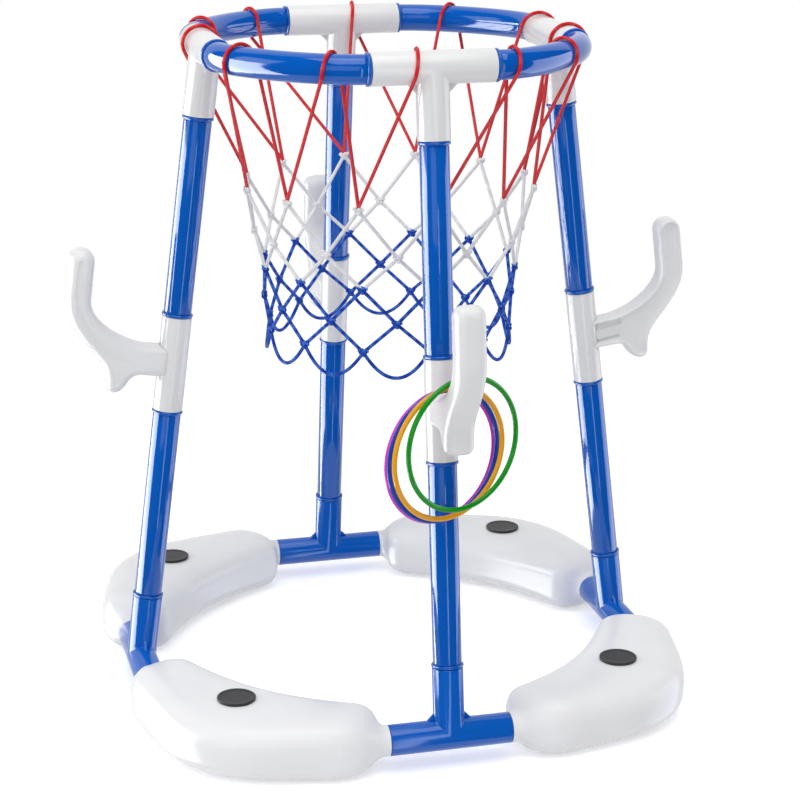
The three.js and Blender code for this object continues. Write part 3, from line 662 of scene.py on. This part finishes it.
bpy.ops.mesh.select_all(action="SELECT")
bpy.ops.mesh.extrude_region_move(TRANSFORM_OT_translate={"value": (0, 0, -HOOK_SLAB)})
bpy.ops.object.mode_set(mode="OBJECT")
closed_up(hook)


def broad_side(way):
    return lambda face: face.normal.z * way > 0.99 and len(face.vertices) > 20


def swelled(piece, way, across, rise, steps):
    """One side of the arm is inset and raised in steps of a quarter of an ellipse."""
    faces_where(piece, broad_side(way))
    for k in range(steps):
        a, b = math.pi / 2 * k / steps, math.pi / 2 * (k + 1) / steps
        inwards, upwards = math.cos(a) - math.cos(b), math.sin(b) - math.sin(a)
        bpy.ops.mesh.inset(thickness=across * inwards, depth=rise * upwards)
    bpy.ops.object.mode_set(mode="OBJECT")


closed_hook = bpy.data.objects.new("closed_hook", hook.data.copy())
scene.collection.objects.link(closed_hook)
for way in (-1, 1):
    faces_where(closed_hook, broad_side(way))
    wider = way * (CLOSED_SLAB - HOOK_SLAB) / 2
    bpy.ops.mesh.extrude_region_move(TRANSFORM_OT_translate={"value": (0, 0, wider)})
    bpy.ops.object.mode_set(mode="OBJECT")
    swelled(closed_hook, way, across=7.8 * mm, rise=8.2 * mm, steps=12)
swelled(hook, -1, across=7.8 * mm, rise=12.2 * mm, steps=12)
swelled(hook, 1, across=2.6 * mm, rise=12.2 * mm, steps=8)

# The rim of the dish, then its wall, which flattens towards the floor
faces_where(hook, broad_side(1))
bpy.ops.mesh.inset(thickness=0.5 * mm)
for across, down in ((0.5, 0.3), (0.6, 0.8), (0.7, 0.7), (0.9, 0.5), (1.1, 0.3)):
    bpy.ops.mesh.inset(thickness=across * mm, depth=-down * mm)
bpy.ops.object.mode_set(mode="OBJECT")
stand_up = Matrix(((0, 0, -1, -HOOK_SLAB / 2), (-1, 0, 0, 0), (0, 1, 0, 0), (0, 0, 0, 1)))
for arm in (hook, closed_hook):
    arm.data.transform(stand_up)


def hollow(out, up, deep, middle, slant):
    """A rounded cutter that sinks a pocket of the given size into the open side."""
    bpy.ops.mesh.primitive_cube_add(size=1)
    tool = bpy.context.object
    tool.scale = (2 * deep, out, up)
    settle(tool)
    modified(tool, "BEVEL", width=min(out, up) * 0.3, segments=4, limit_method="ANGLE")
    place = Matrix.Translation((-HOOK_WIDTH / 2, -middle[0], middle[1]))
    tool.matrix_world = place @ Matrix.Rotation(-slant, 4, "X")
    settle(tool)
    return tool


def crease():
    """A round cutter along the closed side, from the top of the finger to the stop."""
    line = bpy.data.curves.new("crease", "CURVE")
    line.dimensions = "3D"
    line.bevel_depth = CREASE_RADIUS
    line.bevel_resolution = 5
    line.use_fill_caps = True
    line.resolution_u = 8
    path = line.splines.new("BEZIER")
    places = [(94.5, 93), (95.5, 76), (95, 56), (87, 36), (74.5, 17), (64.5, 3), (57.5, -9), (53.5, -21)]
    path.bezier_points.add(len(places) - 1)
    for point, (out, up) in zip(path.bezier_points, places):
        point.co = (HOOK_WIDTH / 2 + CREASE_RISE, -out * mm, up * mm)
        point.handle_left_type = point.handle_right_type = "AUTO"
    tool = bpy.data.objects.new("crease", line)
    scene.collection.objects.link(tool)
    only(tool)
    bpy.ops.object.convert(target="MESH")
    return closed_up(bpy.context.object)


for arm in (hook, closed_hook):
    bpy.ops.mesh.primitive_cylinder_add(vertices=96, radius=SLEEVE_RADIUS + FIT_GAP, depth=120 * mm)
    cut_away(arm, bpy.context.object)
    cut_away(arm, crease())
cut_away(hook, hollow(out=30 * mm, up=7.4 * mm, deep=5 * mm, middle=(21 * mm, 9.6 * mm), slant=0.09))
cut_away(hook, hollow(out=26 * mm, up=3.4 * mm, deep=5 * mm, middle=(20 * mm, -4.6 * mm), slant=0.07))
for arm in (hook, closed_hook):
    smooth(closed_up(arm, outwards=False), 40)
satin_white = plastic("satin_white", (0.79, 0.79, 0.785), 0.3, specular=0.36, grain=0.015, streak=700.0)
for i, side in enumerate(SIDES):
    arm = closed_hook if side == "front" else hook
    fitted(arm, f"hook_arm_{side}", leg_frame(i), f"hook_{side}", satin_white)
bpy.data.objects.remove(hook)
bpy.data.objects.remove(closed_hook)

# Rim tees: white moulded fittings at the top of each leg, with a web in each inner corner.
# A rim tube plugs into each arm, and the upper leg tube into the stem.
RIM_TEE_RADIUS, RIM_TEE_ARM = 14.5 * mm, 55 * mm
rim_tee = tee("rim_tee", RIM_TEE_RADIUS, RIM_TEE_ARM, RIM_TEE_STEM, web=7.2 * mm)
for i, side in enumerate(SIDES):
    top = leg_frame(i) @ Matrix.Translation((0, 0, LEG_LENGTH / 2))
    fitted(rim_tee, f"top_tee_{side}", top, f"rim_tee_{side}", moulded_white)
bpy.data.objects.remove(rim_tee)

# Rim tubes: the same blue tube as the legs, bent to a quarter of the hoop.
# Each joins two rim tees, and has the same beads and spigots at its ends.
RIM_TIP, RIM_HANDLE = RIM_TEE_ARM + FIT_GAP, 43 * mm
BEND_STEPS = 40
BEND_MARGIN = 4 * mm
bend, bend_length = route(RIM_RADIUS, RIM_TIP, RIM_HANDLE)
rim_tube = closed_up(turned("rim_tube", tube_profile(0, bend_length)))
remember_place(rim_tube)
only(rim_tube)
bpy.ops.object.mode_set(mode="EDIT")
for k in range(1, BEND_STEPS):
    cut = BEND_MARGIN + (bend_length - 2 * BEND_MARGIN) * k / BEND_STEPS
    bpy.ops.mesh.select_all(action="SELECT")
    bpy.ops.mesh.bisect(plane_co=(0, 0, cut), plane_no=(0, 0, 1))
bpy.ops.object.mode_set(mode="OBJECT")
for point in rim_tube.data.vertices:
    x, y, z = point.co
    share = z / bend_length
    centre, outwards = bend(share)
    if z < 0:
        centre = Vector((RIM_TIP + z, -RIM_RADIUS, 0))
    if z > bend_length:
        centre = Vector((RIM_RADIUS, -RIM_TIP + z - bend_length, 0))
    point.co = centre + outwards * x + Vector((0, 0, y))
closed_up(rim_tube)
smooth(rim_tube, 50)
for i, bay in enumerate(BAYS):
    fitted(rim_tube, f"rim_arc_{bay}", bay_frame(i, RIM_AXIS), f"rim_tube_{bay}", drawn_blue)
bpy.data.objects.remove(rim_tube)

# Net: braided cord in three colours, red over the rim, white in the middle and blue below.
# The cords are tied to each other at each crossing, and the lowest row hangs in open loops.
CORD_RADIUS = 1.65 * mm
LOOPS = 12
FIRST_TURN = math.radians(-10.7)
NET_ASIDE, NET_OUTWARDS = 4.8, -1.2
# Each row of knots: its radius and its drop below the rim, in millimetres
ROWS = [(136.4, 129.9), (125.6, 174.4), (120.1, 204.9), (117, 236.8), (115.5, 263.8), (115.5, 287.3)]
LOOP_SHIFTS = (0.2, 0.17, -0.04, -0.08, -0.11, 0.17, 0.24, 0.42, 0.3, 0.1, 0.42, 0.4)
LOOP_SLANT = 8 * mm
RIM_CLEARANCE = 0.2 * mm
TUCK = 3 * mm
WRAP_STEPS, HEM_STEPS, KNOT_STEPS = 24, 24, 42


def net_point(row, step, raised=0.0):
    radius, drop = ROWS[row]
    turn = 2 * math.pi * step / LOOPS + FIRST_TURN - math.pi / 2
    level = Vector((radius * math.cos(turn) + NET_ASIDE, radius * math.sin(turn) + NET_OUTWARDS, 0)) * mm
    return level + Vector((0, 0, RIM_AXIS - drop * mm + raised))


def cord(points, radius=CORD_RADIUS, closed=False):
    """A round cord along the points. Its UV runs once around it, and along it in millimetres."""
    line = bpy.data.curves.new("cord", "CURVE")
    line.dimensions = "3D"
    line.bevel_depth = radius
    line.bevel_resolution = 3
    line.use_fill_caps = not closed
    path = line.splines.new("POLY")
    path.points.add(len(points) - 1)
    path.use_cyclic_u = closed
    for point, place in zip(path.points, points):
        point.co = (*place, 1)
    made = bpy.data.objects.new("cord", line)
    scene.collection.objects.link(made)
    only(made)
    bpy.ops.object.convert(target="MESH")
    made = bpy.context.object
    length = sum((b - a).length for a, b in zip(points, points[1:]))
    layer = made.data.uv_layers[0].data
    for corner in layer:
        corner.uv = (corner.uv[0], corner.uv[1] * length / mm)
    return made


def knot(row, step):
    """A knot drawn tight: a closed winding, broad side outwards, and the bights that stick out of it."""
    centre = net_point(row, step)
    outwards = Vector((centre.x, centre.y, 0)).normalized()
    aside, upwards = Vector((-outwards.y, outwards.x, 0)), Vector((0, 0, 1))
    points = []
    for k in range(KNOT_STEPS):
        t = 2 * math.pi * k / KNOT_STEPS
        x, y = math.sin(t) + 2 * math.sin(2 * t), math.cos(t) - 2 * math.cos(2 * t)
        z = -math.sin(3 * t)
        points.append(centre + (aside * x * 1.05 + upwards * y * 0.95 + outwards * z * 1.45) * mm)
    parts = [cord(points, CORD_RADIUS * 0.95, True)]
    for side, rise in ((-1, 2.4), (1, 1.6)):
        tip = centre + (aside * side * 4.7 + upwards * rise + outwards * 1.2) * mm
        parts.append(cord([centre, centre.lerp(tip, 0.5), tip], CORD_RADIUS * 0.85))
    return joined(*parts)


def rim_crossing(step):
    """Where a loop crosses the rim: the rim's centre there, the way outwards, and what it goes round."""
    turn = 2 * math.pi * step / LOOPS + FIRST_TURN
    bay = math.floor(turn / (math.pi / 2))
    local = turn - bay * math.pi / 2
    along, along_next = RIM_RADIUS * math.tan(local), RIM_RADIUS * math.tan(math.pi / 2 - local)
    if along < RIM_TEE_ARM:
        centre, outwards, core = Vector((along, -RIM_RADIUS, 0)), Vector((0, -1, 0)), RIM_TEE_RADIUS
    elif along_next < RIM_TEE_ARM:
        centre, outwards, core = Vector((RIM_RADIUS, -along_next, 0)), Vector((1, 0, 0)), RIM_TEE_RADIUS
    else:
        places = [bend(k / 600) for k in range(601)]
        centre, outwards = min(places, key=lambda p: abs(math.atan2(p[0].x, -p[0].y) - local))
        core = TUBE_RADIUS
    spin = Matrix.Rotation(bay * math.pi / 2, 3, "Z")
    return spin @ centre + Vector((0, 0, RIM_AXIS)), spin @ outwards, core


def rim_loop(step):
    """Up outside the rim from one knot, over it and down inside to the next knot."""
    centre, outwards, core = rim_crossing(step + LOOP_SHIFTS[step])
    along = Vector((-outwards.y, outwards.x, 0))
    radius = core + RIM_CLEARANCE + CORD_RADIUS
    outer, inner = net_point(0, step - 0.5, raised=TUCK), net_point(0, step + 0.5, raised=TUCK)

    def leaving(target, way):
        offset = target - centre
        level = offset.dot(outwards)
        return math.atan2(offset.z, level) + way * math.acos(radius / math.hypot(level, offset.z))

    first, last = leaving(outer, 1), leaving(inner, -1) + 2 * math.pi
    wrap = []
    for k in range(WRAP_STEPS + 1):
        turn = first + (last - first) * k / WRAP_STEPS
        slant = along * LOOP_SLANT * (turn / math.pi - 0.5)
        rise = Vector((0, 0, radius * math.sin(turn)))
        wrap.append(centre + slant + outwards * radius * math.cos(turn) + rise)
    return cord([outer, *wrap, inner])


def braid(name, colour, dark, painted_glint):
    """Braided cord: strands wind about it both ways and cross in rows of small ridges, with painted shade in
    the grooves and a painted highlight on each ridge.
    """
    material = bpy.data.materials.new(name)
    tree = new_tree(material)
    uv = tree.node("ShaderNodeUVMap", uv_map="UVMap")
    around = tree.node("ShaderNodeSeparateXYZ", {0: uv}, output="X")
    along = tree.node("ShaderNodeSeparateXYZ", {0: uv}, output="Y")

    def ridge(turn):
        wave = tree.node("ShaderNodeMath", {0: turn * math.pi}, operation="SINE")
        return tree.node("ShaderNodeMath", {0: wave}, operation="ABSOLUTE")

    leading, trailing = ridge(along * 0.24 + around * 2.0), ridge(along * 0.24 - around * 2.0)
    crown = tree.node("ShaderNodeMath", {0: leading * trailing, 1: 0.8}, operation="POWER")
    # Painted shade: the grooves between the strands are coloured darker.
    tone = blended(tree, crown, (*dark, 1), (*colour, 1))
    # Painted highlight: the top of each strand is mixed towards a light glint colour.
    painted_glint_mask = crown * crown * crown * crown * 0.8
    tone = blended(tree, painted_glint_mask, tone, (*painted_glint, 1))
    bump = tree.node("ShaderNodeBump", {"Strength": 0.6, "Distance": 0.3 * mm, "Height": crown})
    shader = tree.node("ShaderNodeBsdfPrincipled", {
        "Base Color": tone, "Roughness": 0.6 - crown * 0.16, "Specular IOR Level": 0.08, "Normal": bump})
    tree.node("ShaderNodeOutputMaterial", {"Surface": shader})
    return material


def netting(name, node, pieces, material):
    net = joined(*pieces)
    net.name = name
    smooth(net, 50)
    net.data.materials.clear()
    net.data.materials.append(material)
    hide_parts(node)
    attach(net, "root")


def crossing(upper, lower, share):
    return [cord([net_point(upper, k + share), net_point(lower, k + share + side)])
            for k in range(LOOPS) for side in (-0.5, 0.5)]


def knots(row, share):
    return [knot(row, k + share) for k in range(LOOPS)]


def hem(step):
    """A loop that hangs between two knots of the lowest row, in an even curve."""
    points = []
    for k in range(HEM_STEPS + 1):
        across = k / HEM_STEPS - 0.5
        start, end = net_point(4, step + across), net_point(5, step + across)
        points.append(start.lerp(end, 1 - (2 * across) ** 2))
    return cord(points)


# Each braid: its colour, its painted groove shade, and its painted highlight.
red = braid("red_braid", (0.92, 0.003, 0.013), (0.6, 0.001, 0.004), (1, 0.3, 0.3))
white = braid("white_braid", (0.88, 0.88, 0.875), (0.68, 0.68, 0.68), (1, 1, 1))
blue = braid("blue_braid", (0.002, 0.06, 0.66), (0.0, 0.012, 0.16), (0.2, 0.5, 1))
netting("netting_red", "net_red", [rim_loop(k) for k in range(LOOPS)], red)
white_cords = [*knots(0, 0.5), *crossing(0, 1, 0.5), *knots(1, 0), *crossing(1, 2, 0)]
netting("netting_white", "net_white", white_cords, white)
blue_cords = [*knots(2, 0.5), *crossing(2, 3, 0.5), *knots(3, 0), *crossing(3, 4, 0), *knots(4, 0.5)]
blue_cords += [hem(k) for k in range(LOOPS)]
netting("netting_blue", "net_blue", blue_cords, blue)

# Toss rings: four thin rings of coloured plastic that hang over the arm of the front hook.
# Each is moulded in two halves, which leaves a fine line round its outer and inner edge.
RING_RADIUS, RING_CORD = 58.2 * mm, 2.3 * mm
RING_TURN = 22
SEAM_HEIGHT = 0.12 * mm
bpy.ops.mesh.primitive_torus_add(
    major_segments=144, minor_segments=32, major_radius=RING_RADIUS, minor_radius=RING_CORD)
ring = bpy.context.object
for point in ring.data.vertices:
    if abs(point.co.z) < 0.01 * mm:
        from_middle = math.hypot(point.co.x, point.co.y)
        seam = math.copysign(SEAM_HEIGHT, from_middle - RING_RADIUS)
        point.co.x, point.co.y = (c * (1 + seam / from_middle) for c in (point.co.x, point.co.y))
smooth(ring, 30)
for name, colour, aside, out, height in (
    ("green", (0.002, 0.28, 0.005), 5.94, 251.67, 302.85),
    ("yellow", (0.82, 0.36, 0.004), -5.13, 247.55, 294.26),
    ("blue", (0.005, 0.05, 0.38), -8.10, 242.37, 290.92),
    ("magenta", (0.74, 0.04, 0.6), -8.64, 235.18, 288.17),
):
    hung = Matrix.Translation(Vector((aside, -out, height)) * mm)
    hung = hung @ Matrix.Rotation(math.radians(RING_TURN), 4, "Z") @ Matrix.Rotation(math.pi / 2, 4, "X")
    finish = plastic(f"{name}_ring_plastic", colour, 0.18, specular=0.35)
    fitted(ring, f"ring_{name}", hung, f"toss_ring_{name}", finish, f"ring_{name}")
bpy.data.objects.remove(ring)
